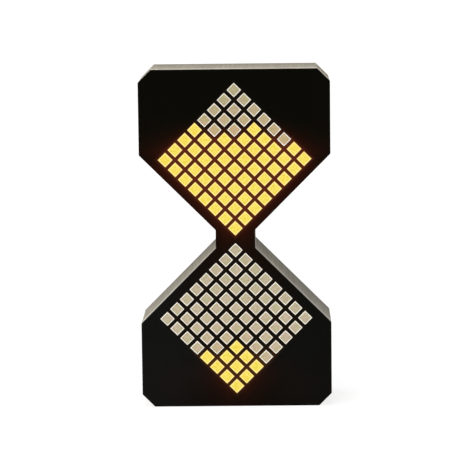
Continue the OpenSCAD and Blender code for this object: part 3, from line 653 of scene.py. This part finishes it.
# Pixel tiles: u counts half steps sideways from the middle, v counts rows downward
def upper_lit(u, v):
    """Lit are two tiles of row -3 and all below that row but one."""
    if v == -3:
        return u in (-4, 2)
    return v > -3 and (u, v) != (5, -2)


def lower_lit(u, v):
    """Lit are one tile of row 3, three of row 4 and all below."""
    if v == 4:
        return u in (-3, -1, 1)
    return v > 4 or (u, v) == (0, 3)


def make_tile_looks(is_lit, top_tone, low_tone):
    """For each tile of a field: whether it is lit, its tone, and the light it takes from lit ones near it."""
    counts = range(1 - tiles_a_side, tiles_a_side)
    spots = [(u, v) for u in counts for v in counts if (u + v) % 2 and abs(u) + abs(v) < tiles_a_side]
    lit_spots = [spot for spot in spots if is_lit(*spot)]
    looks = {}
    for u, v in spots:
        down = (v - counts[0]) / (counts[-1] - counts[0])
        taken = sum(math.exp((next_tile - math.dist((u, v), spot)) / glow_fade) for spot in lit_spots)
        tone = top_tone + (low_tone - top_tone) * down + random.uniform(-tone_spread, tone_spread)
        looks[u, v] = {"lit": float(is_lit(u, v)), "painted_glow": min(1.0, glow_share * taken), "tone": tone}
    return looks


def find_tile_fronts(shape):
    return [face for face in shape.faces
            if face.normal.y < -straight and abs(face.calc_center_median().y - tile_front) < merge_gap]


def make_tile_field(name, node, middle, looks):
    shape = joined_copy(node)
    layers = {word: shape.faces.layers.float.new(word) for word in ("lit", "rim", "tone", "painted_glow")}
    front_edges = {edge for face in find_tile_fronts(shape) for edge in face.edges}
    round_edges(shape, list(front_edges), rim_round)
    panes = find_tile_fronts(shape)
    bmesh.ops.inset_individual(shape, faces=panes, thickness=rim_width)
    bmesh.ops.inset_individual(shape, faces=panes, thickness=pane_step, depth=-pane_sink)
    panes = set(panes)
    for face in shape.faces:
        spot = face.calc_center_median()
        if spot.y > tile_front + tile_depth:
            continue
        rising = math.floor((spot.x + spot.z - middle) / (2 * half_step)) + 0.5
        falling = math.floor((spot.x - spot.z + middle) / (2 * half_step)) + 0.5
        for word, value in looks[round(rising + falling), round(falling - rising)].items():
            face[layers[word]] = value
        face[layers["rim"]] = float(face not in panes)
    hand_in(shape, name, node)


# Cells: the sleeve laps over both ends, and a band goes round the plus end
def make_cell(name, node):
    shape = joined_copy(node)
    lo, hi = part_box(node)
    middle = (lo + hi) / 2
    radius = (hi.z - lo.z) / 2

    def from_axis(point):
        return math.hypot(point.y - middle.y, point.z - middle.z)

    def along_axis(point):
        """Place along the cell, to a hundredth of a millimetre."""
        return round(point.x, 5)

    can_ends = {along_axis(v.co) for v in shape.verts if from_axis(v.co) > can_share * radius}
    can_lo, can_hi = min(can_ends), max(can_ends)
    plus = 1.0 if hi.x - can_hi > can_lo - lo.x else -1.0
    round_edges(shape, sharp_edges(shape), cell_round, steps=3)
    caps = [face for face in shape.faces
            if abs(face.normal.x) > straight and along_axis(face.calc_center_median()) in can_ends]
    bmesh.ops.inset_region(shape, faces=caps, thickness=cell_lap)
    bmesh.ops.inset_region(shape, faces=caps, thickness=cell_lap_step, depth=-cell_lap_step)
    band_edge = middle.x + plus * cell_band * (hi.x - lo.x)
    bmesh.ops.bisect_plane(shape, geom=shape.verts[:] + shape.edges[:] + shape.faces[:], dist=merge_gap,
                           plane_co=(band_edge, 0, 0), plane_no=(1, 0, 0))
    band, bare = (shape.faces.layers.float.new(word) for word in ("band", "bare"))
    for face in shape.faces:
        spot = face.calc_center_median()
        face[band] = float(plus * (spot.x - band_edge) > 0)
        beyond = not can_lo - merge_gap < spot.x < can_hi + merge_gap
        inner = abs(face.normal.x) > bare_slope and from_axis(spot) < bare_share * radius
        face[bare] = float(face in caps or beyond or inner)
    hand_in(shape, name, node)


# Round caps: the coarse dish is cut out and made again in even rings, a step below the rim
def make_button_cap(name, node):
    shape = joined_copy(node)
    round_edges(shape, sharp_edges(shape), cap_round, steps=3)
    lo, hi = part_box(node)
    middle = (lo + hi) / 2

    def is_in_dish(face):
        spots = [v.co for v in face.verts]
        near = all(math.hypot(spot.x - middle.x, spot.z - middle.z) < dish_reach for spot in spots)
        depths = [hi.y - spot.y for spot in spots]
        return face.normal.y > nearly_straight and near and merge_gap < max(depths) < dish_depth

    dish = [face for face in shape.faces if is_in_dish(face)]
    bmesh.ops.delete(shape, geom=dish, context="FACES")
    dish_rim = [edge for edge in shape.edges if edge.is_boundary]
    dish_floor = bmesh.ops.contextual_create(shape, geom=dish_rim)["faces"]
    bmesh.ops.recalc_face_normals(shape, faces=shape.faces)
    for width, drop in dish_rings:
        bmesh.ops.inset_region(shape, faces=dish_floor, thickness=width * MM, depth=-drop * MM)
    hand_in(shape, name, node)


# Door: its grip ribs get a finer rounding than its border
def make_flap_door():
    shape = joined_copy("battery_door")
    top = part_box("battery_door")[1].y
    crests = [v.co.copy() for v in shape.verts if v.co.y > top - merge_gap]
    reach = max(abs(spot.x) for spot in crests) + rib_room
    low, high = min(spot.z for spot in crests) - rib_room, max(spot.z for spot in crests) + rib_room

    def is_on_crest(edge):
        return any(v.co.y > top - merge_gap for v in edge.verts)

    def is_off_ribs(edge):
        return not all(abs(v.co.x) < reach and low < v.co.z < high and v.co.y > top - rib_room
                       for v in edge.verts)

    round_edges(shape, sharp_edges(shape, is_on_crest), rib_round, steps=3)
    round_edges(shape, sharp_edges(shape, is_off_ribs), door_round)
    hand_in(shape, "battery_flap_door", "battery_door")


# Shell: the faces that look backwards are marked, and show no drawn lines
def make_shell():
    shape = joined_copy("housing")
    round_edges(shape, sharp_edges(shape), shell_round, steps=3)
    rim = shape.faces.layers.float.new("rear_rim")
    for face in shape.faces:
        face[rim] = float(face.normal.y > nearly_straight)
    hand_in(shape, "hourglass_shell", "housing")


# Pieces that only have their longer edges rounded: node, piece, width in mm, shortest edge in mm
rounded_pieces = [
    ("carrier_frame", "front_band", 0.2, 0.0),
    ("back_cover", "rear_cover", 0.2, 0.0),
    ("back_screws", "rear_screw_heads", 0.08, 0.0),
    ("power_knob", "power_cap", 0.12, 0.0),
    ("controller_chip", "controller_chip_case", 0.12, 3.0),
    ("upper_led_driver", "upper_driver_case", 0.15, 3.0),
    ("lower_led_driver", "lower_driver_case", 0.15, 3.0),
    ("motion_sensor", "motion_sensor_case", 0.08, 2.0),
    ("voltage_regulator", "regulator_case", 0.12, 2.5),
    ("smoothing_capacitor", "capacitor_body", 0.3, 0.0),
    ("buzzer", "buzzer_body", 0.25, 0.0),
    ("mode_switch", "mode_switch_body", 0.15, 2.0),
    ("time_switch", "time_switch_body", 0.15, 2.0),
    ("power_switch", "power_switch_body", 0.15, 0.0),
    ("power_lever", "power_lever_stem", 0.15, 0.0),
    ("mode_plunger", "mode_plunger_stem", 0.15, 0.0),
    ("time_plunger", "time_plunger_stem", 0.15, 0.0),
    ("display_socket", "display_socket_body", 0.25, 0.0),
    ("control_socket", "control_socket_body", 0.25, 0.0),
    ("left_battery_contacts", "left_contact_strips", 0.06, 0.0),
    ("right_battery_contacts", "right_contact_strips", 0.06, 0.0),
    ("upper_leds", "upper_led_packages", 0.15, 0.0),
    ("lower_leds", "lower_led_packages", 0.15, 0.0),
]


def make_rounded_piece(node, name, width, shortest):
    shape = joined_copy(node)
    longer = sharp_edges(shape, lambda edge: edge.calc_length() > shortest * MM)
    round_edges(shape, longer, width * MM)
    hand_in(shape, name, node)


make_front_face()
upper_looks = make_tile_looks(upper_lit, *upper_tones)
make_tile_field("upper_tile_field", "upper_pixel_tiles", upper_middle, upper_looks)
lower_looks = make_tile_looks(lower_lit, *lower_tones)
make_tile_field("lower_tile_field", "lower_pixel_tiles", lower_middle, lower_looks)
make_shell()
make_flap_door()
make_button_cap("mode_cap", "mode_button")
make_button_cap("time_cap", "time_button")
for rounded_piece in rounded_pieces:
    make_rounded_piece(*rounded_piece)
for spot in ("top", "middle", "bottom"):
    make_cell(spot + "_cell", "battery_cell_" + spot)

# Nodes that stay as they are take their slot's finish
for part in frame["nodes"].values():
    for holder in part.material_slots:
        holder.material = finishes[holder.material.name]


# Floor, sky, lamps and camera
def is_seen(tree):
    """1 for what the camera sees itself, and 0 for light on its way to the timer."""
    return add(tree, "LightPath").outputs["Is Camera Ray"]


def make_floor():
    shape = bmesh.new()
    bmesh.ops.create_circle(shape, cap_ends=True, segments=floor_sides, radius=floor_radius)
    mesh = bpy.data.meshes.new("studio_floor")
    shape.to_mesh(mesh)
    shape.free()
    card = moulding("pale_floor_card", (250, 250, 250), (248, 248, 248), (250, 250, 250),
                    rough=(0.8, 0.9), grain=300.0, wear=0.0, specular=0.1)
    tree = card.node_tree
    skin = tree.nodes["Principled BSDF"].inputs
    tone = skin["Base Color"].links[0].from_socket
    plug(tree, skin["Base Color"], mix(tree, is_seen(tree), tone, grey(floor_shadow)))
    plug(tree, skin["Emission Color"], mix(tree, is_seen(tree), grey(floor_glow), grey(floor_white)))
    skin["Emission Strength"].default_value = 1.0
    mesh.materials.append(card)
    put_in_scene("studio_floor", mesh)


def make_sky():
    sky = bpy.data.worlds.new("studio_sky")
    sky.use_nodes = True
    tree = sky.node_tree
    tree.nodes.clear()
    soft, bright = (add(tree, "Background", {"Color": white, "Strength": strength}).outputs[0]
                    for strength in (sky_glow, sky_white))
    both = add(tree, "MixShader", {0: is_seen(tree), 1: soft, 2: bright}).outputs[0]
    add(tree, "OutputWorld", {"Surface": both})
    bpy.context.scene.world = sky


def make_lamp(name, way, strength, spread):
    glow = bpy.data.lights.new(name, "SUN")
    glow.energy = strength
    glow.angle = spread
    lamp = put_in_scene(name, glow)
    lamp.rotation_mode = "QUATERNION"
    lamp.rotation_quaternion = (-way).to_track_quat("-Z", "Y")


def make_camera():
    forward = (camera_target - camera_place).normalized()
    level = forward.cross(Vector((0.0, 0.0, 1.0))).normalized()
    upright = level.cross(forward)
    right = level * math.cos(camera_roll) + upright * math.sin(camera_roll)
    up = upright * math.cos(camera_roll) - level * math.sin(camera_roll)
    lens = bpy.data.cameras.new("photo_camera")
    lens.lens = camera_lens
    lens.sensor_width = camera_sensor
    camera = put_in_scene("photo_camera", lens)
    turn = Matrix((right, up, -forward)).transposed().to_4x4()
    camera.matrix_world = Matrix.Translation(camera_place) @ turn
    bpy.context.scene.camera = camera
    bpy.context.scene.view_settings.view_transform = "Standard"


make_floor()
make_sky()
for lamp_name, lamp_setting in lamps.items():
    make_lamp(lamp_name, *lamp_setting)
make_camera()
